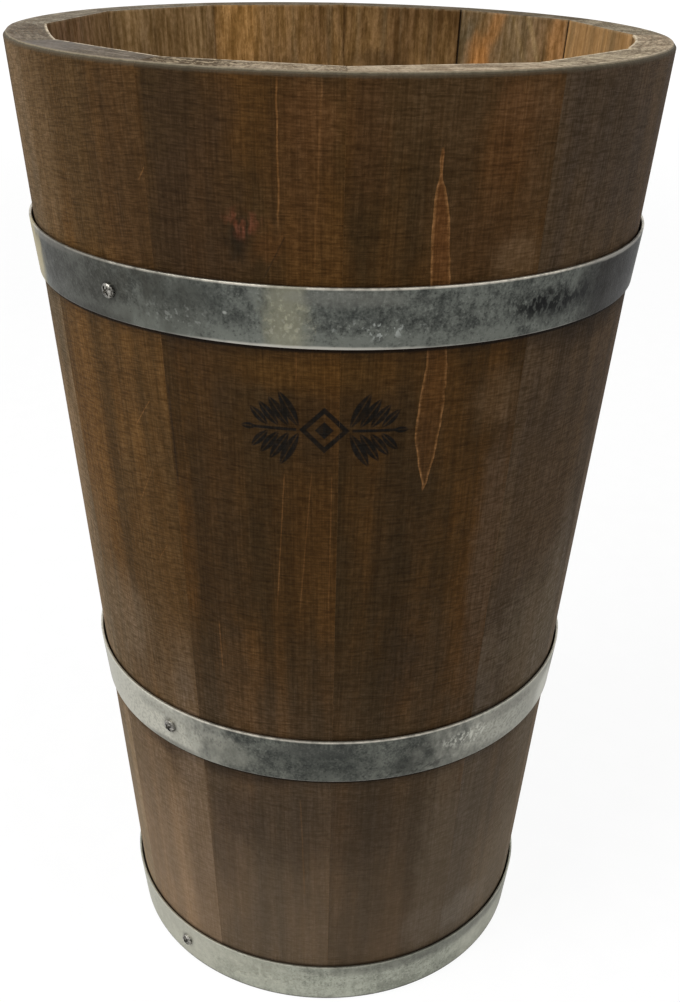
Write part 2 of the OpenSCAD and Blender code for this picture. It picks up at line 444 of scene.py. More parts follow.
weave = ramp(narrow, 0.32, 0.68, 0.6, 1.44) * ramp(grain["Mottle"], 0.3, 0.7, 0.8, 1.22)
give(Color=colour, Weave=weave)

# A weave's tones as a tint: dark fibres are richer in colour than pale ones, as wet wood is.
weave_tint, given, give = node_group("weave tint", {"Weave": 1.0}, {"Color": "Color"})
t = weave_tint
toned = node(t, "ShaderNodeCombineColor", {"Red": given["Weave"] ** 0.9, "Green": given["Weave"],
                                           "Blue": given["Weave"] ** 1.35})
give(Color=toned)

# The sawn end on the rim: pale grey wood full of pores, with the yearly rings across it.
sawn_end, given, give = node_group(
    "sawn end",
    {**on_plank, "Pale": (168, 150, 126), "Dull": (112, 98, 80), "Roughcut": 0.5},
    {"Color": "Color", "Height": "Float"})
grain = use(plank_grain, Plank=given["Plank"], Offset=given["Offset"])
spot = combined("ADD", given["Plank"], given["Offset"])
pores = noise(spot, (620, 40, 620), 3, 0.7)
blotches = noise(spot, (90, 40, 90), 3, 0.6)
colour = mix(ramp(blotches, 0.4, 0.62), given["Dull"], given["Pale"])
colour = mix(ramp(grain["Rings"], 0.2, 1.0, 0.0, 0.35), colour, (96, 78, 58))
growth = noise(spot, (24, 40, 250), 3, 0.6)
colour = mix(ramp(growth, 0.46, 0.62, 0.0, 0.42), colour, (92, 77, 60))
colour = mix(ramp(growth, 0.44, 0.32, 0.0, 0.3), colour, (196, 181, 156))
colour = mix(ramp(pores, 0.5, 0.36) * given["Roughcut"], colour, (70, 54, 38))
colour = mix(ramp(pores, 0.54, 0.68) * given["Roughcut"], colour, (214, 196, 166))
give(Color=colour, Height=pores)


def shaded(material, colour, roughness, height, relief, metallic=0.0, shine=0.5):
    """Finishes a material: one Principled shader, with heights that stand this far out as a bump."""
    shader = material.node_tree.nodes["Principled BSDF"].inputs
    fill(shader["Base Color"], colour)
    fill(shader["Roughness"], roughness)
    fill(shader["Metallic"], metallic)
    fill(shader["Specular IOR Level"], shine)
    fill(shader["Normal"], node(material.node_tree, "ShaderNodeBump",
                                {"Height": height, "Distance": relief}))


def new_material(name):
    """An empty node material, and where each of its points is on the tub."""
    material = bpy.data.materials.new(name)
    material.use_nodes = True
    return material, use(tub_place, material.node_tree)


def woven(colour, weave):
    """Darkens and lightens a colour by a weave's tones."""
    return mix(1.0, colour, use(weave_tint, Weave=weave)["Color"], "MULTIPLY")


def painted(under, where, features):
    """Lays each feature, in turn, over the colour under it."""
    for feature in features:
        under = feature(where, under)
    return under


def spot_mask(where, middle, level, half_width, half_height, raggedness=0.5):
    return use(soft_spot, **where, Middle=middle, Level=level, Half_Width=half_width,
               Half_Height=half_height, Raggedness=raggedness)["Mask"]


# The features are laid out on the tub with their angles and half widths in degrees, and their
# levels and half heights in millimetres. Each goes on with a colour and a strength from 0 to 1.
def patch(middle, level, half_width, half_height, colour, strength, raggedness=0.5):
    """A soft-edged patch."""
    def paint(where, under):
        spot = spot_mask(where, middle, level, half_width, half_height, raggedness)
        return mix(spot * strength, under, colour)
    return paint


def speckles(middle, level, half_width, half_height, colour, strength, per_metre, start=0.56, end=0.66):
    """Crisp marks scattered over a soft-edged area, thicker with a lower start."""
    def paint(where, under):
        marks = ramp(noise(where["Point"], per_metre, 2, 0.6), start, end)
        area = spot_mask(where, middle, level, half_width, half_height)
        return mix(area * marks * strength, under, colour)
    return paint


def line(top_angle, top, bottom_angle, bottom, half_width, colour, strength, wobble=0.3):
    """A thin line along the grain, from its top down to its bottom."""
    def paint(where, under):
        mask = use(thin_line, **where, Top_Angle=top_angle, Top=top, Bottom_Angle=bottom_angle,
                   Bottom=bottom, Half_Width=half_width, Wobble=wobble)["Mask"]
        return mix(mask * strength, under, colour)
    return paint


def sapwood_streak(where, under):
    """A long flame of paler sapwood, with a bright outline, that took less stain."""
    foot, tip = 374.0, 544.0
    # Each edge's angle at shares of the way up. Their curves run over a reach of so many degrees.
    middle_angle, reach = 16.2, 6.0
    left_edge = [(0, 16.2), (.03, 15.9), (.14, 14.45), (.21, 14.0), (.27, 14.25), (.44, 15.0),
                 (.65, 14.5), (.74, 14.25), (.82, 14.15), (.89, 14.4), (.93, 14.7), (.965, 14.6),
                 (1, 14.8)]
    right_edge = [(0, 16.3), (.07, 17.4), (.17, 18.35), (.26, 18.75), (.37, 18.86), (.44, 18.46),
                  (.65, 17.8), (.74, 17.3), (.82, 16.85), (.89, 15.95), (.93, 15.2), (.985, 15.2),
                  (1, 14.85)]
    up = maths("DIVIDE", where["Height"] - foot, tip - foot, clamp=True)

    def edge_angle(edge):
        curve = node(tree_of(up), "ShaderNodeFloatCurve", {"Value": up})
        mapping = curve.socket.node.mapping
        points = mapping.curves[0].points
        places = [(share, 0.5 + (angle - middle_angle) / reach) for share, angle in edge]
        points[0].location, points[1].location = places[0], places[-1]
        for place in places[1:-1]:
            points.new(*place)
        mapping.update()
        return curve * reach + (middle_angle - reach / 2)

    angle = where["Angle"] + (noise(where["Point"], (40, 40, 120), 2) - 0.5) * 0.5
    from_left = angle - edge_angle(left_edge)
    from_right = edge_angle(right_edge) - angle
    inside = ramp(from_left, -0.05, 0.12) * ramp(from_right, -0.05, 0.12)
    inside = inside * (ramp(where["Height"], foot, foot + 3) * ramp(where["Height"], tip, tip - 3))
    edge = maths("MINIMUM", from_left, from_right)
    broken = ramp(noise(where["Point"], (380, 380, 260), 3, 0.6), 0.34, 0.62, 0.2, 0.8)
    outline = inside * ramp(edge, 0.6, 0.05)
    under = mix(inside * ramp(where["Height"], 440.0, 520.0, 0.16, 0.46), under, (104, 62, 26))
    return mix(outline * broken, under, (138, 98, 58))


# One leaf of a spray burnt in with hot irons: a pointed oval with a pale vein along it.
burnt_leaf, given, give = node_group(
    "burnt leaf",
    {"Across": 0.0, "Up": 0.0, "Middle": 0.0, "Level": 0.0, "Turn": 0.0, "Half Length": 4.0,
     "Half Width": 1.5},
    {"Mask": "Float"})
dx = given["Across"] - given["Middle"]
dy = given["Up"] - given["Level"]
turn = maths("RADIANS", given["Turn"])
cosine, sine = maths("COSINE", turn), maths("SINE", turn)
along = dx * cosine + dy * sine
aside = maths("ABSOLUTE", dy * cosine - dx * sine)
reach = along / given["Half Length"]
edge = given["Half Width"] * (1.0 - reach * reach)
leaf = ramp(edge - aside, -0.2, 0.5)
give(Mask=leaf * ramp(aside, 0.15, 0.55, 0.45, 1.0))


def burnt_spray(where, under):
    """A level spray of leaves to each side of a lozenge, burnt into the two front staves."""
    middle, level, millimetres_per_degree = -1.5, 410.0, 2.86
    across = maths("ABSOLUTE", where["Angle"] - middle) * millimetres_per_degree
    up = where["Height"] - level
    stem = ramp(maths("ABSOLUTE", up), 1.1, 0.5) * (ramp(across, 13.0, 14.0) * ramp(across, 36.5, 35.5))
    lozenge = across + maths("ABSOLUTE", up)
    border = ramp(lozenge, 12.6, 11.8) * ramp(lozenge, 8.4, 9.2)
    burnt = maths("MAXIMUM", maths("MAXIMUM", stem, border), ramp(lozenge, 5.0, 4.2))
    # Each leaf's place along the stem and off it, its turn, and its half length and half width.
    leaves = [(17.2 + 4.9 * k, side * (10.6 - 1.5 * k), side * (62 - 5 * k), 10.6 - 1.3 * k,
               3.1 - 0.25 * k) for k in range(4) for side in (-1, 1)]
    leaves.append((37.3, 0.0, 0.0, 4.2, 1.8))
    for away, rise, turn, half_length, half_width in leaves:
        leaf = use(burnt_leaf, Across=across, Up=up, Middle=away, Level=rise, Turn=turn,
                   Half_Length=half_length, Half_Width=half_width)["Mask"]
        burnt = maths("MAXIMUM", burnt, leaf)
    uneven = ramp(noise(where["Point"], 300, 2), 0.3, 0.6, 0.78, 0.97)
    toasted = spot_mask(where, middle, level, half_width=17.0, half_height=26.0)
    under = mix(toasted * 0.35, under, (44, 29, 13))
    return mix(burnt * uneven, under, (17, 15, 12))


# What shows on single staves, outside, inside and on the rim.
pale_line = (122, 84, 46)
hair = (26, 19, 13)
stave_features = {
    1: [patch(-22, 500, 10, 90, (54, 38, 24), 0.45),
        patch(-3.5, 556, 4.5, 22, (104, 70, 38), 0.45, 0.4),
        patch(-16.5, 558, 3.5, 18, (52, 37, 22), 0.4, 0.4),
        patch(-26, 115, 6, 40, (66, 54, 43), 0.35, 0.4),
        patch(-22, 350, 8, 110, (46, 34, 20), 0.5),
        patch(-5.5, 535, 5.5, 45, (74, 48, 24), 0.40),
        patch(-5.0, 440, 11, 14, (78, 50, 16), 0.40),
        patch(-3.0, 442, 22, 16, (76, 51, 19), 0.40, 0.4),
        patch(-20, 262, 5, 42, (54, 44, 31), 0.35),
        patch(-5.0, 370, 9, 26, (66, 42, 14), 0.50),
        patch(-6.0, 330, 7, 60, (68, 45, 18), 0.4),
        line(-8.5, 572, -8.6, 505, 0.22, pale_line, 0.60, 0.8),
        line(-2.3, 572, -3.4, 482, 0.25, pale_line, 0.20, 0.5),
        patch(-15.0, 503, 3.0, 10, (27, 22, 13), 0.72, 0.9),
        speckles(-14.2, 509, 3.4, 8, (108, 62, 42), 0.6, (260, 260, 110), 0.44, 0.68),
        patch(-11.0, 500, 3.0, 10, (84, 52, 22), 0.4, 0.9),
        line(-7.65, 504, -11.3, 483, 0.18, hair, 0.50, 0.3),
        line(-6.17, 450, -6.2, 434, 0.18, pale_line, 0.45, 0.2),
        line(-8.4, 386, -10.4, 300, 0.18, pale_line, 0.45, 0.4),
        line(-3.6, 387, -6.0, 298, 0.18, pale_line, 0.35, 0.4),
        line(-0.1, 387, -0.3, 300, 0.18, pale_line, 0.40, 0.3),
        line(-22.8, 290, -22.8, 255, 0.2, pale_line, 0.35, 0.2),
        line(-6.1, 172, -5.1, 88, 0.25, pale_line, 0.30, 0.4),
        line(-29.5, 425, -29.4, 360, 0.35, hair, 0.55, 0.3),
        patch(-8, 148, 18, 42, (48, 38, 28), 0.36, 0.3),
        patch(-4, 340, 26, 90, (42, 29, 13), 0.18, 0.3),
        # Painted shade under the middle hoop's lower edge.
        patch(-20, 184, 15, 9, (40, 30, 21), 0.5, 0.4),
        patch(-22, 152, 8, 26, (50, 38, 29), 0.35, 0.4),
        burnt_spray],
    2: [patch(16, 560, 17, 24, (88, 65, 40), 0.30),
        patch(29, 556, 7, 9, (104, 76, 50), 0.4, 0.4),
        patch(29, 52, 9, 22, (112, 100, 88), 0.35, 0.4),
        patch(22, 520, 13, 45, (84, 60, 36), 0.22),
        patch(5, 148, 18, 42, (48, 38, 28), 0.36, 0.3),
        patch(-4, 340, 26, 90, (42, 29, 13), 0.18, 0.3),
        patch(31, 562, 5, 18, (98, 70, 43), 0.4),
        patch(-3.0, 442, 22, 16, (76, 51, 19), 0.40, 0.4),
        patch(20, 272, 7, 46, (57, 46, 32), 0.40),
        patch(4, 550, 4, 40, (74, 48, 24), 0.4),
        patch(26, 545, 6, 34, (92, 60, 30), 0.5),
        patch(31, 520, 4, 60, (74, 54, 32), 0.5),
        patch(22, 500, 9, 30, (74, 50, 26), 0.4),
        patch(13, 340, 7, 130, (44, 34, 20), 0.5),
        patch(32, 330, 5, 100, (80, 63, 46), 0.75, 0.4),
        patch(29, 420, 6, 20, (92, 70, 46), 0.6, 0.4),
        patch(30, 490, 6, 14, (104, 81, 56), 0.5, 0.4),
        patch(30, 90, 8, 140, (97, 84, 68), 0.6),
        patch(15, 265, 5, 40, (44, 33, 22), 0.35, 0.4),
        sapwood_streak,
        line(-0.4, 172, 0.8, 45, 0.22, pale_line, 0.30, 0.4),
        burnt_spray],
    3: [patch(50, 530, 14, 50, (62, 51, 40), 0.5),
        # Painted shadow under the top hoop's lower edge, on the right.
        patch(50, 447, 17, 13, (22, 16, 11), 0.5, 0.4),
        patch(36, 262, 4, 24, (88, 72, 54), 0.5, 0.4),
        patch(37, 120, 5, 170, (83, 72, 59), 0.6),
        patch(60, 200, 10, 170, (98, 87, 72), 0.6),
        patch(48, 280, 12, 70, (80, 67, 52), 0.3),
        patch(48, 352, 15, 60, (78, 59, 37), 0.40, 0.4),
        patch(52, 262, 16, 52, (98, 86, 68), 0.35, 0.4),
        patch(58, 60, 13, 60, (112, 99, 82), 0.5, 0.3),
        patch(41, 52, 12, 18, (124, 114, 102), 0.35, 0.4)],
    4: [patch(73, 250, 14, 150, (114, 99, 81), 0.60, 0.3),
        # Painted shadow under the top hoop's lower edge, on the right.
        patch(72, 447, 9, 13, (22, 16, 11), 0.4, 0.4),
        patch(80, 520, 12, 60, (84, 69, 53), 0.4, 0.3)],
    11: [patch(-74, 310, 13, 130, (134, 111, 83), 0.50, 0.3)],
    12: [patch(-34, 520, 9, 90, (50, 34, 18), 0.6, 0.3),
         patch(-58, 520, 8, 90, (98, 76, 49), 0.6, 0.3),
         patch(-40, 420, 5, 30, (66, 47, 25), 0.35),
         patch(-33.5, 320, 5, 80, (80, 55, 25), 0.45),
         # Painted shade under the middle hoop's lower edge.
         patch(-40, 184, 14, 9, (58, 44, 31), 0.55, 0.4),
         patch(-50, 268, 10, 34, (112, 96, 76), 0.35, 0.3),
         patch(-32.5, 238, 3, 14, (54, 42, 28), 0.4, 0.4),
         patch(-36, 172, 8, 18, (62, 49, 36), 0.5, 0.4),
         # These three pale patches low on the stave are painted light: the lower left is painted
         # brighter.
         patch(-58, 240, 8, 120, (98, 82, 60), 0.4, 0.3),
         patch(-33, 110, 7, 170, (100, 83, 65), 0.75, 0.3),
         patch(-34, 40, 8, 34, (120, 101, 81), 0.4, 0.3),
         line(-28.6, 535, -31.5, 522, 0.2, pale_line, 0.4, 0.2),
         line(-34.0, 413, -38.6, 395, 0.16, pale_line, 0.5, 0.2),
         line(-35.5, 373, -39.9, 350, 0.16, pale_line, 0.35, 0.2),
         line(-33.5, 330, -36.5, 318, 0.2, pale_line, 0.3, 0.2)],
}
inside_features = {
    6: [patch(134, 552, 6.0, 60, (112, 98, 72), 0.45),
        patch(122.5, 550, 3.0, 70, (184, 128, 70), 0.38),
        patch(149.0, 556, 3.0, 26, (94, 82, 60), 0.60),
        patch(144.6, 544, 4.2, 20, (190, 126, 64), 0.45),
        line(138.5, 576, 145.5, 538, 3.0, (176, 118, 60), 0.40, 1.5),
        line(144.0, 576, 151.0, 552, 2.6, (90, 78, 56), 0.45, 1.5),
        line(136.0, 576, 129.5, 540, 0.9, (158, 132, 92), 0.40, 0.8),
        line(131.5, 576, 125.5, 540, 1.1, (164, 138, 94), 0.40, 0.8)],
    7: [patch(171, 541, 8, 9, (60, 43, 24), 0.5)],
    8: [patch(-154.5, 550, 6.0, 70, (178, 132, 74), 0.55)],
    9: [patch(-137, 550, 6, 80, (150, 118, 76), 0.4),
        patch(-124, 550, 3, 60, (156, 124, 80), 0.4)],
    10: [patch(-119, 550, 16, 90, (130, 102, 66), 0.80, 0.3)],
}
rim_features = {
    1: [patch(-24, 574, 11, 60, (72, 57, 38), 0.88, 0.6),
        speckles(-21, 574, 12, 60, (196, 178, 148), 0.66, 330, 0.51, 0.57),
        speckles(-21, 574, 12, 60, (56, 43, 30), 0.70, 290, 0.54, 0.61)],
    4: [speckles(76, 574, 16, 60, (94, 80, 60), 0.6, 300, 0.50, 0.60),
        speckles(76, 574, 16, 60, (206, 192, 166), 0.5, 340, 0.53, 0.62)],
    12: [patch(-55, 574, 12, 60, (116, 111, 106), 0.5, 0.6)],
}

# One row for each stave, going right from the first joint: its width in degrees, the stain's dark,
# warm and cool tones, the bare wood's brown and gold, the rim's pale and dull, the foot's tone in
# painted light from the floor, how rough the saw left the rim, and how far the planer's marks are out of
# square.
first_joint = -30.0
stave_table = [
    (31, (48, 33, 13), (74, 49, 20), (55, 40, 21), (100, 74, 44), (142, 108, 66), (192, 175, 151),
     (136, 120, 98), (96, 82, 66), 0.9, 0.03),
    (33, (49, 34, 14), (75, 50, 21), (55, 41, 22), (100, 74, 44), (142, 108, 66), (200, 182, 156),
     (156, 138, 114), (84, 71, 56), 0.5, 0.0),
    (32, (60, 47, 33), (78, 61, 42), (68, 55, 41), (100, 74, 44), (142, 108, 66), (204, 188, 160),
     (144, 130, 108), (102, 90, 75), 0.7, 0.0),
    (24, (64, 51, 38), (82, 65, 48), (72, 59, 47), (136, 102, 62), (182, 142, 92), (206, 186, 158),
     (142, 124, 102), (124, 111, 94), 0.8, 0.0),
    (30, (60, 46, 31), (80, 61, 41), (68, 55, 41), (150, 115, 73), (176, 135, 86), (170, 158, 136),
     (122, 112, 92), (114, 100, 83), 0.7, 0.0),
    (31, (54, 40, 24), (78, 56, 32), (60, 47, 34), (98, 77, 51), (132, 101, 64), (114, 104, 84),
     (86, 76, 60), (104, 90, 73), 0.4, 0.0),
    (28, (52, 38, 22), (80, 56, 30), (58, 45, 32), (96, 70, 40), (124, 94, 56), (112, 100, 82),
     (82, 72, 56), (100, 86, 68), 0.4, 0.0),
    (32, (54, 39, 23), (80, 56, 31), (60, 46, 32), (120, 90, 54), (148, 113, 69), (116, 104, 84),
     (84, 74, 58), (100, 86, 68), 0.4, 0.0),
    (30, (58, 43, 26), (82, 58, 33), (66, 52, 37), (132, 104, 67), (156, 125, 83), (138, 130, 114),
     (106, 98, 84), (108, 94, 75), 0.6, 0.0),
    (31, (64, 49, 32), (90, 68, 43), (76, 61, 44), (114, 88, 62), (140, 108, 76), (158, 150, 134),
     (122, 114, 100), (120, 105, 84), 0.5, 0.0),
    (28, (74, 59, 40), (102, 81, 55), (90, 75, 54), (84, 62, 42), (112, 84, 56), (128, 118, 105),
     (92, 84, 73), (132, 116, 94), 0.4, -0.1),
    (30, (60, 43, 21), (90, 63, 31), (76, 56, 31), (84, 62, 42), (112, 84, 56), (126, 117, 106),
     (96, 89, 80), (130, 110, 88), 0.3, -0.1),
]
# What sets single staves apart: how far the inside is planed hollow, how dark the seams look inside,
# how strong the inner weave is, and how much the rim's inner and outer edges are rubbed, the outer
# one also painted bright as a highlight. One stave was sawn across its log's cone, so its inside
# shows arches.
hollows = {4: 0.0034, 11: 0.0014}
open_seam = {6: 0.9}
inner_contrast = {5: 0.45}
inner_rubbing = dict.fromkeys(range(5, 11), 0.12)
outer_rub_and_highlight = {3: 0.5, 4: 0.2}
arched_stave = 6
arched_grain = {"Pith": (0.004, 0.0, -0.03), "Cone": 0.14}
straight_grain = {"Pith": (0.02, 0.0, -0.03), "Cone": 0.02}


def stave_material(number, dark, warm, cool, brown, gold, rim_pale, rim_dull, foot_light_tone, roughcut, tilt):
    """The finish of one stave, outside, inside and on its ends, from its row in the stave table."""
    material, where = new_material(f"stained_wood_{number:02d}")
    t = material.node_tree
    plank = node(t, "ShaderNodeAttribute", out=1, attribute_name="plank")
    on_end, on_outside, seam = [node(t, "ShaderNodeAttribute", out=2, attribute_name=name)
                                for name in ("end", "outside", "seam")]
    offset = (0.73 * number, 1.9 * number, 0.41 * number)
    stained = use(stained_face, Plank=plank, Offset=offset, Tilt=tilt, Dark=dark, Warm=warm, Cool=cool)
    bare = use(bare_face, Plank=plank, Offset=offset, Brown=brown, Gold=gold,
               **(arched_grain if number == arched_stave else straight_grain))
    end = use(sawn_end, Plank=plank, Offset=offset, Pale=rim_pale, Dull=rim_dull, Roughcut=roughcut)
    # Towards the foot the stain is painted paler and greyer, more and more, and its weave fainter:
    # painted light bounced up from the white floor.
    damp_and_foot_light = ramp(where["Height"], 320.0, 10.0, 0.0, 0.95)
    darkened, paled = 0.92, (1.09, 1.06, 1.03)
    foot_light_wood = mix(stained["Flow"], [darkened * c for c in foot_light_tone],
                    [share * c for share, c in zip(paled, foot_light_tone)])
    outside = painted(mix(damp_and_foot_light, stained["Color"], foot_light_wood), where, stave_features.get(number, []))
    outside = woven(outside, (stained["Weave"] - 1.0) * ramp(damp_and_foot_light, 0.0, 1.0, 1.0, 0.38) + 1.0)
    # Painted shade: a dark line just under each hoop's lower edge, a softer shade below it, and a thin
    # shade just above its upper edge.
    for lower_edge in hoop_lower_edges.values():
        foot, top = lower_edge * 1000, (lower_edge + strip_width) * 1000
        hoop_shade = maths("MAXIMUM", ramp(where["Height"], foot - 3.2, foot - 1.4, 0.0, 0.9),
                      ramp(where["Height"], foot - 10.0, foot - 1.0, 0.0, 0.34))
        hoop_shade = hoop_shade * ramp(where["Height"], top + 2.0, top - 4.0)
        outside = mix(hoop_shade, outside, (16, 12, 9))
    # The stain stops at the rim's bevel, which is worn to a dull olive grey over a dark line.
    worn = where["Height"] + noise(where["Point"], 260, 3, 0.7) * 0.8
    rim = tub_height * 1000
    outside = mix(ramp(worn, rim - 2.6, rim - 1.4, 0.0, 0.55), outside, (72, 65, 52))
    outside = mix(ramp(worn, rim - 1.2, rim - 0.6, 0.0, 0.9), outside, (86, 79, 65))
    outside = mix(ramp(worn, rim - 0.4, rim + 0.1, 0.0, 0.9), outside, (140, 129, 109))
    # Inside, the wood is bare, and dirt lies in the seams.
    inside = painted(bare["Color"], where, inside_features.get(number, []))
    inside = woven(inside, (bare["Weave"] - 1.0) * inner_contrast.get(number, 1.0) + 1.0)
    inside = mix(ramp(seam, 0.0016, 0.0007, 0.0, open_seam.get(number, 0.15)), inside, (20, 13, 8))
    # Both edges of the rim are rubbed bright where hands have lifted the tub, and the outer edge is also
    # painted brighter as a highlight.
    _, _, depth = parts(plank)
    x, y, _ = parts(where["Point"])
    from_axis = maths("SQRT", x * x + y * y)
    rub = ramp(noise(where["Point"], 300, 2), 0.3, 0.6)
    inner_rub = rub * inner_rubbing.get(number, 1.0)
    outer_rub_highlight = rub * outer_rub_and_highlight.get(number, 0.08)
    inside = mix(ramp(where["Height"], rim - 1.4, rim - 0.5) * inner_rub, inside, (226, 206, 172))
    ends = painted(end["Color"], where, rim_features.get(number, []))
    ends = mix(ramp(depth, 0.0018, 0.0005) * inner_rub, ends, (230, 214, 186))
    near_outside = ramp(from_axis, rim_radius - 0.0042, rim_radius - 0.0028)
    ends = mix(near_outside * outer_rub_highlight, ends, (206, 192, 170))
    ends = mix(ramp(seam, 0.0005, 0.0002, 0.0, 0.6), ends, (60, 48, 36))
    colour = mix(on_outside, mix(on_end, inside, ends), outside)
    height = mix(on_outside, mix(on_end, bare["Weave"], end["Height"]), stained["Weave"])
    shaded(material, colour, ramp(on_outside, 0.0, 1.0, 0.85, 0.68), height, relief=0.0004, shine=0.06)
    return material


# A face is an end if it faces up or down, and outside if it faces out and is on the outer skin.
facing_up, facing_out, outer_skin = 0.85, 0.5, 0.004
to_angle = first_joint
for number, (width, *look) in enumerate(stave_table, 1):
    node_name = f"stave_{number:02d}"
    from_angle, to_angle = to_angle, to_angle + width
    hollow = hollows.get(number, 0.0)
    stave = grow(f"{node_name}_plank", stave_tree,
                 {"From Angle": from_angle, "To Angle": to_angle, "Hollow": hollow,
                  "Wood": stave_material(number, *look)}, eased_edge)
    # Each point's place in its own plank: across it, up it, and its depth from the flat inner face.
    mesh = stave.data
    spots = np.empty(len(mesh.vertices) * 3, np.float32)
    mesh.vertices.foreach_get("co", spots)
    sx, sy, sz = spots.reshape(-1, 3).T
    radius, angle = np.hypot(sx, sy), np.degrees(np.arctan2(sx, -sy))
    turn = (angle - (from_angle + to_angle) / 2 + 180) % 360 - 180
    side = np.radians(turn)
    flat = wood_radius(sz) - wall_run
    sweep = hollow_sweep * (turn / (to_angle - from_angle) + 0.5)
    planed = hollow * np.sin(sweep) * sz / tub_height
    flat = flat + np.where(radius < flat + wall_run / 2, planed, 0.0)
    plank_place = np.stack([radius * np.sin(side), sz, radius * np.cos(side) - flat], 1)
    seam_gap = radius * np.radians((to_angle - from_angle) / 2 - np.abs(turn))
    for label, sort, key, values in (("plank", "FLOAT_VECTOR", "vector", plank_place),
                                     ("seam", "FLOAT", "value", seam_gap)):
        attribute = mesh.attributes.new(label, sort, "POINT")
        attribute.data.foreach_set(key, values.astype(np.float32).ravel())
    on_end = mesh.attributes.new("end", "FLOAT", "FACE")
    on_outside = mesh.attributes.new("outside", "FLOAT", "FACE")
    for face in mesh.polygons:
        middle = face.center
        out = (middle.x * face.normal.x + middle.y * face.normal.y) / max(middle.xy.length, 1e-6)
        on_end.data[face.index].value = float(abs(face.normal.z) > facing_up)
        on_outside.data[face.index].value = float(
            out > facing_out and wood_radius(middle.z) - middle.xy.length < outer_skin)
    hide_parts(node_name)
    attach(stave, "root")


# ---- Head boards and their dowels ----
# The tub's floor: three planed boards edge to edge in the croze, joined by beech dowels, with a
# drain hole through the middle one. Water has darkened them.


def finish_node(name, material):
    """Puts a material on a part that keeps its shape from the CAD."""
    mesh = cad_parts[name].data
    mesh.materials.clear()
    mesh.materials.append(material)


for number, name in enumerate(("head_board_front", "head_board_middle", "head_board_back"), 1):
    material, where = new_material(f"head_wood_{number}")
    x, y, z = parts(where["Point"])
    face = use(bare_face, Plank=vector(y, x, z), Offset=(0.9 * number, 0.3, 0.2), Brown=(78, 56, 34),
               Gold=(132, 98, 58), Grey=(98, 86, 66))
    damp_and_foot_light = noise(where["Point"], 14, 3, 0.6)
    colour = mix(ramp(damp_and_foot_light, 0.42, 0.62, 0.0, 0.6), face["Color"], (46, 34, 22))
    shaded(material, woven(colour, face["Weave"]), ramp(damp_and_foot_light, 0.4, 0.65, 0.85, 0.6), face["Weave"],
           relief=0.0004, shine=0.12)
    finish_node(name, material)

dowel_beech, where = new_material("dowel_beech")
flecks = noise(where["Point"], (900, 60, 900), 3)
shaded(dowel_beech, mix(ramp(flecks, 0.35, 0.7), (150, 112, 74), (196, 160, 116)), 0.6, flecks,
       relief=0.0002, shine=0.2)
finish_node("head_dowels", dowel_beech)


# ---- Hoops ----
# Three hoops of 30 mm galvanised strip, driven on from the foot and riveted where their ends
# overlap at the back. Handling has dulled them to slate; their cut edges carry a painted highlight,
# and their ends painted reflections.
strip_thickness = 0.0015
strip_corner = 0.0004
lap_length = 0.046
lap_angles = {"top_hoop": 171.0, "middle_hoop": 183.0, "bottom_hoop": 176.0}
# How far the strip stands off the staves, at its lower and at its upper edge.
gap_below, gap_above = 0.0001, 0.0011

hoop_tree, given, give = node_group(
    "hoop",
    {"Lower Edge": 0.0, "Lower Radius": 0.13, "Upper Radius": 0.13, "Strip Width": strip_width,
     "Strip Thickness": strip_thickness, "Corner": strip_corner, "Lap Angle": 180.0,
     "Lap Length": lap_length, "Steps": 240, "Steel": bpy.types.Material},
    {"Geometry": "Geometry"}, kind="GeometryNodeTree")
t = hoop_tree
edge = node(t, "GeometryNodeCurvePrimitiveQuadrilateral",
            {"Width": given["Strip Thickness"], "Height": given["Strip Width"]}, mode="RECTANGLE")
edge = node(t, "GeometryNodeFilletCurve", {"Curve": edge, "Count": 2, "Radius": given["Corner"]},
            mode="POLY")
strip, along, thick, up = swept_bar(t, edge, given["Steps"])
middle_radius = (given["Lower Radius"] + given["Upper Radius"]) * 0.5
lap_turn = given["Lap Length"] / middle_radius
start = maths("RADIANS", given["Lap Angle"]) - lap_turn * 0.5
full_turn = 2 * math.pi
turned = along * (lap_turn + full_turn)
rise_turn = 0.12
ride_up = ramp(turned, full_turn - rise_turn, full_turn) * given["Strip Thickness"]
flare = (given["Upper Radius"] - given["Lower Radius"]) / given["Strip Width"]
out = up * flare + middle_radius + (ride_up + (given["Strip Thickness"] * 0.5 + thick))
level = up + (given["Strip Width"] * 0.5 + given["Lower Edge"])
strip = bent_round(t, strip, out, start + turned, level)
give(Geometry=plain_mesh(t, strip, given["Steel"]))

# Old zinc: a dull slate skin in cloudy patches, fine grain, runs from the dipping bath, a band
# of paler scale, and a painted highlight along each cut edge.
old_zinc, given, give = node_group(
    "old zinc",
    {**on_tub, "Lower Edge": 0.0, "Dark": (64, 66, 63), "Light": (112, 114, 106), "Patches": 30.0,
     "Pale Band": 0.0, "Edge Wear": 1.0},
    {"Color": "Color", "Roughness": "Float", "Height": "Float"})
clouds = noise(given["Point"], given["Patches"], 4, 0.6)
mottle = noise(given["Point"], 190, 3, 0.6)
grain = noise(given["Point"], 700, 3, 0.65)
wound = vector(given["Angle"] * 0.003, 0.0, given["Height"] * 0.001)
runs = noise(wound, (420, 1, 30), 3, 0.6)
tone = clouds * 0.32 + mottle * 0.3 + (grain * 0.27 + runs * 0.11)
level = given["Height"] - given["Lower Edge"]
banded = ramp(runs * 10.0 + level, 17.0, 9.0) * given["Pale Band"]
tone = banded * 0.09 + tone
flake_colour, pit_colour = (176, 178, 170), (34, 35, 34)
colour = mix(ramp(tone, 0.4, 0.61), given["Dark"], given["Light"])
colour = mix(ramp(grain, 0.6, 0.72, 0.0, 0.16), colour, flake_colour)
colour = mix(ramp(grain, 0.4, 0.3, 0.0, 0.45), colour, pit_colour)
upper_edge = strip_width * 1000
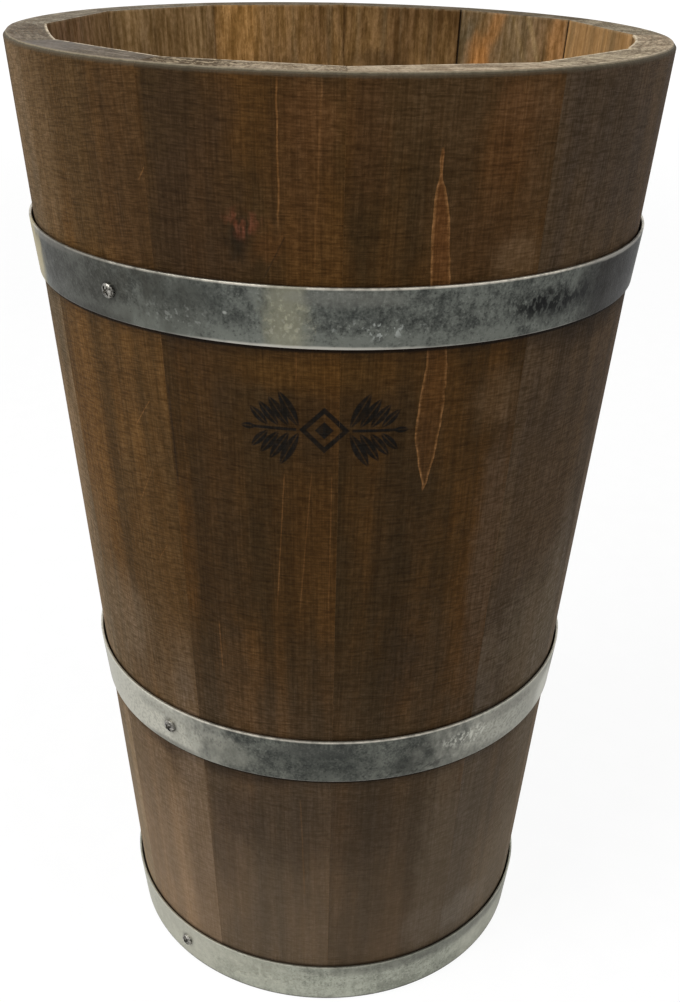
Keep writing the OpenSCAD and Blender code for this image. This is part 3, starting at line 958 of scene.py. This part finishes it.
# A painted highlight along the strip's upper edge, made uneven by the mottle.
upper_edge_highlight = ramp(level, upper_edge - 1.4, upper_edge - 0.7) * ramp(mottle, 0.3, 0.6, 0.45, 0.9)
colour = mix(upper_edge_highlight * given["Edge Wear"], colour, (212, 206, 192))
# A painted highlight along the strip's lower edge.
colour = mix(ramp(level, 0.7, 0.3, 0.0, 0.4), colour, (176, 172, 162))
give(Color=colour, Roughness=ramp(tone, 0.35, 0.65, 0.5, 0.38), Height=grain * 0.5 + clouds)

# Stains, scuffs and bare spots, placed as on the staves, with painted reflections towards the hoops'
# ends, painted highlights along edges, and painted shade round the screws and along the bottom hoop.
top_hoop_marks_and_light = [
    patch(-7.6, 467, 4.4, 34, (138, 136, 116), 0.7, 0.5),
    speckles(-7.6, 469, 4.8, 16, (184, 182, 156), 0.50, (430, 430, 360), 0.50, 0.74),
    patch(-25, 474, 9, 9, (52, 54, 52), 0.4, 0.8),
    patch(-22, 468, 13, 16, (56, 58, 55), 0.35, 0.7),
    patch(1, 477, 14, 5, (132, 132, 124), 0.4, 0.5),
    patch(2, 470, 5, 6, (48, 52, 51), 0.2, 0.8),
    # Painted highlight along the hoop's upper edge, on the left.
    patch(-62, 480, 16, 2.4, (176, 172, 162), 0.6, 0.4),
    patch(-46, 453, 11, 3.5, (30, 31, 29), 0.45, 0.4),
    # Painted highlight along the hoop's lower edge.
    patch(-4, 452.4, 24, 1.4, (200, 196, 186), 0.75, 0.3),
    patch(-50, 467, 24, 60, (60, 58, 51), 0.6, 0.6),
    patch(-27, 467, 9, 30, (62, 61, 54), 0.3, 0.6),
    patch(57, 466, 16, 40, (21, 16, 8), 0.94, 0.3),
    patch(65, 463, 9, 24, (18, 15, 9), 0.85, 0.3),
    # Painted highlight along the hoop's upper edge, on the right.
    patch(56, 481.3, 13, 1.5, (196, 192, 182), 0.55, 0.3),
    speckles(7, 462, 8, 6, (180, 184, 178), 0.6, 330),
    speckles(-17.4, 467, 0.45, 1.0, (150, 152, 146), 0.9, 200, 0.3, 0.5),
    speckles(-26, 462, 9, 7, (138, 140, 134), 0.5, 300),
    speckles(-7, 462, 5, 8, (160, 158, 142), 0.6, (420, 420, 300)),
    patch(41, 465, 11, 10, (42, 43, 41), 0.5, 0.9),
    speckles(38, 467, 13, 8, (11, 12, 12), 0.9, (430, 430, 260), 0.42, 0.53),
    # Painted contact shade round the screw head.
    patch(-40, 467, 2.2, 6.0, (40, 40, 38), 0.6, 0.3),
    # Painted reflection, pale and warm, at the hoop's left end.
    patch(-70, 464, 7, 30, (202, 188, 146), 0.8, 0.6),
]
middle_hoop_marks_and_light = [
    # Painted reflection at the hoop's left end.
    patch(-54, 202, 32, 60, (212, 210, 196), 0.84, 0.4),
    patch(-23, 199, 9, 13, (150, 150, 138), 0.4, 0.5),
    patch(-40, 188.5, 11, 3.5, (66, 66, 62), 0.55, 0.4),
    patch(-43, 211, 10, 5, (104, 104, 96), 0.35, 0.4),
    patch(-3, 210, 11, 6, (110, 110, 104), 0.3, 0.5),
    patch(-1, 202, 15, 20, (50, 53, 50), 0.42, 0.7),
    patch(24, 202, 10, 18, (64, 64, 58), 0.4, 0.7),
    # Painted reflection towards the hoop's right end.
    patch(54, 202, 31, 60, (192, 191, 178), 0.80, 0.6),
    patch(46, 211.5, 13, 6, (104, 102, 94), 0.45, 0.4),
    patch(38, 189, 12, 5, (96, 96, 88), 0.45, 0.4),
    # Painted reflection, brightest, at the far right.
    patch(67, 197, 10, 16, (230, 229, 218), 0.8, 0.4),
    patch(17, 196, 5, 8, (42, 44, 41), 0.5, 0.6),
    speckles(-45, 202, 22, 24, (112, 110, 98), 0.42, 560, 0.42, 0.70),
    speckles(42, 202, 22, 24, (92, 92, 86), 0.45, 520, 0.42, 0.68),
    speckles(20, 192, 10, 5, (36, 36, 34), 0.6, (200, 200, 300), 0.50, 0.62),
    speckles(33, 205, 8, 7, (218, 218, 206), 0.65, (420, 420, 300), 0.48, 0.62),
    speckles(-24, 208, 14, 8, (52, 54, 50), 0.4, (420, 420, 200), 0.50, 0.66),
    # Painted contact shade round the screw head.
    patch(-38.5, 202.5, 2.6, 6.5, (52, 50, 44), 0.6, 0.3),
]
bottom_hoop_marks_and_light = [
    # Painted reflection at the hoop's left end.
    patch(-52, 15, 30, 60, (196, 194, 180), 0.7, 0.4),
    patch(-20, 22, 14, 20, (182, 181, 166), 0.5, 0.6),
    # Painted reflection at the hoop's right end.
    patch(57, 10, 20, 40, (204, 203, 189), 0.6, 0.4),
    # Painted shade along the hoop's upper edge, where it meets the wood.
    patch(34, 27, 44, 7, (84, 84, 77), 0.6, 0.3),
    patch(-12, 8, 19, 9, (190, 191, 178), 0.4, 0.5),
    speckles(-22, 14, 16, 13, (214, 214, 198), 0.35, (300, 300, 260), 0.48, 0.66),
    speckles(-14, 10, 30, 12, (116, 118, 106), 0.35, 420, 0.52, 0.68),
    # Painted contact shadow along the hoop's lower edge, above the floor.
    patch(0, 0.2, 400, 1.7, (58, 58, 53), 0.85, 0.1),
    # Painted contact shade round the screw head.
    patch(-43, 15.5, 2.8, 6.5, (66, 64, 58), 0.55, 0.3),
]

# Each hoop's dark and light tones, the strength of its pale band, how strong the painted highlight on
# its upper edge is, and its marks and painted light.
steel_look = {
    "top_hoop": ((58, 60, 57), (112, 115, 108), 0.8, 1.0, top_hoop_marks_and_light),
    "middle_hoop": ((58, 60, 57), (110, 112, 104), 0.4, 1.0, middle_hoop_marks_and_light),
    # The bottom hoop's pale tones are a painted reflection of the white floor.
    "bottom_hoop": ((140, 142, 130), (184, 186, 172), 0.0, 0.15, bottom_hoop_marks_and_light),
}
for name, (dark, light, pale_band, edge_highlight_share, marks) in steel_look.items():
    lower_edge = hoop_lower_edges[name]
    material, where = new_material(f"{name}_zinc")
    zinc = use(old_zinc, **where, Lower_Edge=lower_edge * 1000, Dark=dark, Light=light,
               Pale_Band=pale_band, Edge_Wear=edge_highlight_share)
    shaded(material, painted(zinc["Color"], where, marks), zinc["Roughness"], zinc["Height"],
           relief=0.0003, metallic=0.9)
    hoop = grow(f"{name}_strip", hoop_tree,
                {"Lower Edge": lower_edge, "Lower Radius": wood_radius(lower_edge) + gap_below,
                 "Upper Radius": wood_radius(lower_edge + strip_width) + gap_above,
                 "Lap Angle": lap_angles[name], "Steel": material})
    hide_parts(name)
    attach(hoop, "root")


# ---- Rivets ----
# Two steel rivets hold each lap. Each was set hot through both thicknesses of strip, and its
# head was hammered to a low dome.
rivet_shank, rivet_head_width, rivet_head_height = 0.005, 0.009, 0.0024
rivet_spacing = 0.024
# The strip stands a little off the staves, and the rivets' seats with it.
rivet_lift = 0.0003


def domed_head(t, given, segments, rings, fullness, dents=0.0):
    """The upper half of a ball, pressed to a head's width and height. A low fullness flattens its top."""
    ball = node(t, "GeometryNodeMeshUVSphere", {"Segments": segments, "Rings": rings, "Radius": 1.0})
    place = node(t, "GeometryNodeInputPosition")
    x, y, z = parts(place)
    rise = maths("MAXIMUM", z, 0.0) ** fullness
    if dents:
        rise = rise * ((noise(place, 1.6, 1) - 0.5) * dents + 1.0)
    half = given["Head Width"] * 0.5
    pressed = vector(x * half, y * half, rise * given["Head Height"])
    return node(t, "GeometryNodeSetPosition", {"Geometry": ball, "Position": pressed})


def lowered(t, shape, depth):
    down = vector(0.0, 0.0, -depth)
    return node(t, "GeometryNodeTransform", {"Geometry": shape, "Translation": down})


def joined(t, *shapes):
    whole = node(t, "GeometryNodeJoinGeometry")
    for shape in shapes:
        fill(whole.socket.node.inputs[0], shape)
    return whole


def stood_on_hoop(t, given, fastening, count, angle):
    """Stands a fastening at each angle, square to the sloping strip, and turns it about itself."""
    sine, cosine = maths("SINE", angle), -maths("COSINE", angle)
    seat = vector(sine * given["Seat Radius"], cosine * given["Seat Radius"], given["Seat Height"])
    seats = node(t, "GeometryNodePoints", {"Count": count, "Position": seat})
    level = maths("COSINE", given["Lean"])
    outward = vector(sine * level, cosine * level, -maths("SINE", given["Lean"]))
    turned = node(t, "FunctionNodeRandomValue", {2: 0.0, 3: 2 * math.pi, "Seed": given["Seed"]}, out=1,
                  data_type="FLOAT")
    twist = node(t, "FunctionNodeAxisAngleToRotation", {"Axis": (0, 0, 1), "Angle": turned})
    stand = node(t, "FunctionNodeAlignRotationToVector", {"Vector": outward}, axis="Z")
    stand = node(t, "FunctionNodeRotateRotation", {"Rotation": stand, "Rotate By": twist},
                 rotation_space="LOCAL")
    placed = node(t, "GeometryNodeInstanceOnPoints",
                  {"Points": seats, "Instance": fastening, "Rotation": stand})
    return plain_mesh(t, placed, given["Steel"])


rivet_tree, given, give = node_group(
    "lap rivets",
    {"Lap Angle": 180.0, "Spacing": rivet_spacing, "Seat Radius": 0.17, "Seat Height": 0.1,
     "Lean": lean, "Head Width": rivet_head_width, "Head Height": rivet_head_height,
     "Shank Width": rivet_shank, "Shank Length": 0.003, "Seed": 4, "Steel": bpy.types.Material},
    {"Geometry": "Geometry"}, kind="GeometryNodeTree")
t = rivet_tree
dome = domed_head(t, given, segments=28, rings=16, fullness=0.8, dents=0.3)
shank = node(t, "GeometryNodeMeshCylinder",
             {"Vertices": 20, "Radius": given["Shank Width"] * 0.5, "Depth": given["Shank Length"]})
rivet = joined(t, dome, lowered(t, shank, given["Shank Length"] * 0.5))
side = node(t, "GeometryNodeInputIndex") - 0.5
angle = maths("RADIANS", given["Lap Angle"]) + side * (given["Spacing"] / given["Seat Radius"])
give(Geometry=stood_on_hoop(t, given, rivet, 2, angle))

# A rivet has no strip edge, so for it the zinc's is set out of the way.
rivet_zinc, where = new_material("rivet_zinc")
far_below = -100.0
zinc = use(old_zinc, **where, Lower_Edge=far_below, Dark=(96, 98, 94), Light=(158, 158, 150),
           Patches=160.0)
shaded(rivet_zinc, zinc["Color"], 0.4, zinc["Height"], relief=0.0002, metallic=0.9)
for name, lower_edge in hoop_lower_edges.items():
    middle = lower_edge + strip_width / 2
    rivets = grow(f"{name}_rivet_pair", rivet_tree,
                  {"Lap Angle": lap_angles[name],
                   "Seat Radius": wood_radius(middle) + 2 * strip_thickness + rivet_lift,
                   "Seat Height": middle, "Steel": rivet_zinc})
    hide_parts(f"{name}_rivets")
    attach(rivets, "root")


# ---- Screws ----
# Two pan-head wood screws with a cross recess go through each hoop into a stave, and keep the
# hoop from slipping when the wood dries. They are newer and brighter than the hoops.
screw_head_width, screw_head_height = 0.008, 0.0026
screw_width, screw_length, screw_point = 0.004, 0.018, 0.004
recess_length, recess_width, recess_depth = 0.0048, 0.0013, 0.0015
screw_lift = 0.0004
blunt_tip = 0.0004
first_screw_angle = {"top_hoop": -40.0, "middle_hoop": -38.5, "bottom_hoop": -43.0}

screw_tree, given, give = node_group(
    "hoop screws",
    {"Count": 2, "First Angle": 0.0, "Seat Radius": 0.17, "Seat Height": 0.1, "Lean": lean,
     "Head Width": screw_head_width, "Head Height": screw_head_height, "Recess Length": recess_length,
     "Recess Width": recess_width, "Recess Depth": recess_depth, "Shank Width": screw_width,
     "Shank Length": screw_length, "Point Length": screw_point, "Seed": 11, "Steel": bpy.types.Material},
    {"Geometry": "Geometry"}, kind="GeometryNodeTree")
t = screw_tree
recess_bar = node(t, "GeometryNodeMeshCube", {
    "Size": vector(given["Recess Length"], given["Recess Width"], given["Recess Depth"] * 2.0)})
dome = domed_head(t, given, segments=36, rings=24, fullness=0.55)
head = node(t, "GeometryNodeMeshBoolean", {"Mesh 1": dome}, operation="DIFFERENCE", solver="EXACT")
for half_turns in (0.25, 0.75):
    arm = node(t, "GeometryNodeTransform", {
        "Geometry": recess_bar, "Translation": vector(0.0, 0.0, given["Head Height"]),
        "Rotation": (0.0, 0.0, half_turns * math.pi)})
    fill(head.socket.node.inputs["Mesh 2"], arm)
body_length = given["Shank Length"] - given["Point Length"]
half_shank = given["Shank Width"] * 0.5
body = node(t, "GeometryNodeMeshCylinder", {"Vertices": 20, "Radius": half_shank, "Depth": body_length})
tip = node(t, "GeometryNodeMeshCone", {"Vertices": 20, "Radius Top": half_shank,
                                       "Radius Bottom": blunt_tip, "Depth": given["Point Length"]})
screw = joined(t, head, lowered(t, body, body_length * 0.5), lowered(t, tip, given["Shank Length"]))
step = 2 * math.pi / given["Count"]
angle = node(t, "GeometryNodeInputIndex") * step + maths("RADIANS", given["First Angle"])
give(Geometry=stood_on_hoop(t, given, screw, given["Count"], angle))

screw_zinc, where = new_material("screw_zinc")
scuffs = noise(where["Point"], 700, 3, 0.6)
shaded(screw_zinc, mix(ramp(scuffs, 0.38, 0.68), (66, 64, 59), (186, 183, 175)),
       ramp(scuffs, 0.3, 0.7, 0.22, 0.4), scuffs, relief=0.00008, metallic=1.0)
for name, lower_edge in hoop_lower_edges.items():
    middle = lower_edge + strip_width / 2
    screws = grow(f"{name}_screw_pair", screw_tree,
                  {"First Angle": first_screw_angle[name],
                   "Seat Radius": wood_radius(middle) + strip_thickness + screw_lift,
                   "Seat Height": middle, "Steel": screw_zinc})
    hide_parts(f"{name}_screws")
    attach(screws, "root")


# ---- Floor, light and background ----
# A seamless white studio floor, a big soft lamp from the left, a weaker one from the right, and
# an even white surround that the steel reflects.
white_floor = bpy.data.materials.new("studio_floor")
white_floor.use_nodes = True
t = white_floor.node_tree
paint = t.nodes["Principled BSDF"]
place = node(t, "ShaderNodeTexCoord", out=3)
grit = ramp(noise(place, 40, 2), 0.3, 0.7)
fill(paint.inputs["Base Color"], mix(grit, (228, 228, 228), (236, 236, 236)))
fill(paint.inputs["Roughness"], 0.9)
# To the camera the floor round the tub is mostly a glow, so it shows white, with a little shade.
x, y, _ = parts(place)
away = maths("SQRT", x * x + y * y)
share = ramp(away, foot_radius - 0.02, foot_radius - 0.005, 0.0, 0.85) + ramp(away, 1.5, 5.0, 0.0, 0.15)
seen = outputs_of(node(t, "ShaderNodeLightPath"))
floor_glow = 1.06
glow = node(t, "ShaderNodeEmission", {"Strength": floor_glow})
blend = node(t, "ShaderNodeMixShader", (seen["Is Camera Ray"] * share, Wire(paint.outputs[0]), glow))
fill(t.nodes["Material Output"].inputs["Surface"], blend)
floor_half = 15.0
floor_mesh = bpy.data.meshes.new("studio_floor")
floor_mesh.from_pydata([(-floor_half, -floor_half, 0), (floor_half, -floor_half, 0),
                        (floor_half, floor_half, 0), (-floor_half, floor_half, 0)], [], [(0, 1, 2, 3)])
floor_mesh.materials.append(white_floor)
floor = bpy.data.objects.new("studio_floor", floor_mesh)
bpy.context.collection.objects.link(floor)

lit_point = Vector((0, 0, 0.3))
for name, place, size, power in (("left_softbox", (-1.6, -1.1, 1.8), 1.4, 40.0),
                                 ("right_softbox", (1.7, -0.9, 1.5), 1.2, 9.0)):
    lamp = bpy.data.objects.new(name, bpy.data.lights.new(name, "AREA"))
    lamp.data.energy, lamp.data.size = power, size
    lamp.location = place
    bpy.context.collection.objects.link(lamp)
    aim = lamp.location - lit_point
    lamp.rotation_mode = "QUATERNION"
    lamp.rotation_quaternion = aim.to_track_quat("Z", "Y")

world = bpy.data.worlds.new("studio")
world.use_nodes = True
bpy.context.scene.world = world
t = world.node_tree
seen = outputs_of(node(t, "ShaderNodeLightPath"))
shown = maths("MAXIMUM", maths("MAXIMUM", seen["Is Camera Ray"], seen["Is Glossy Ray"]),
              seen["Is Transmission Ray"])
surround = t.nodes["Background"].inputs
soft_light, seen_white = 0.48, 1.0
fill(surround["Color"], (255, 255, 255))
fill(surround["Strength"], ramp(shown, 0.0, 1.0, soft_light, seen_white))
bpy.context.scene.view_settings.view_transform = "Standard"
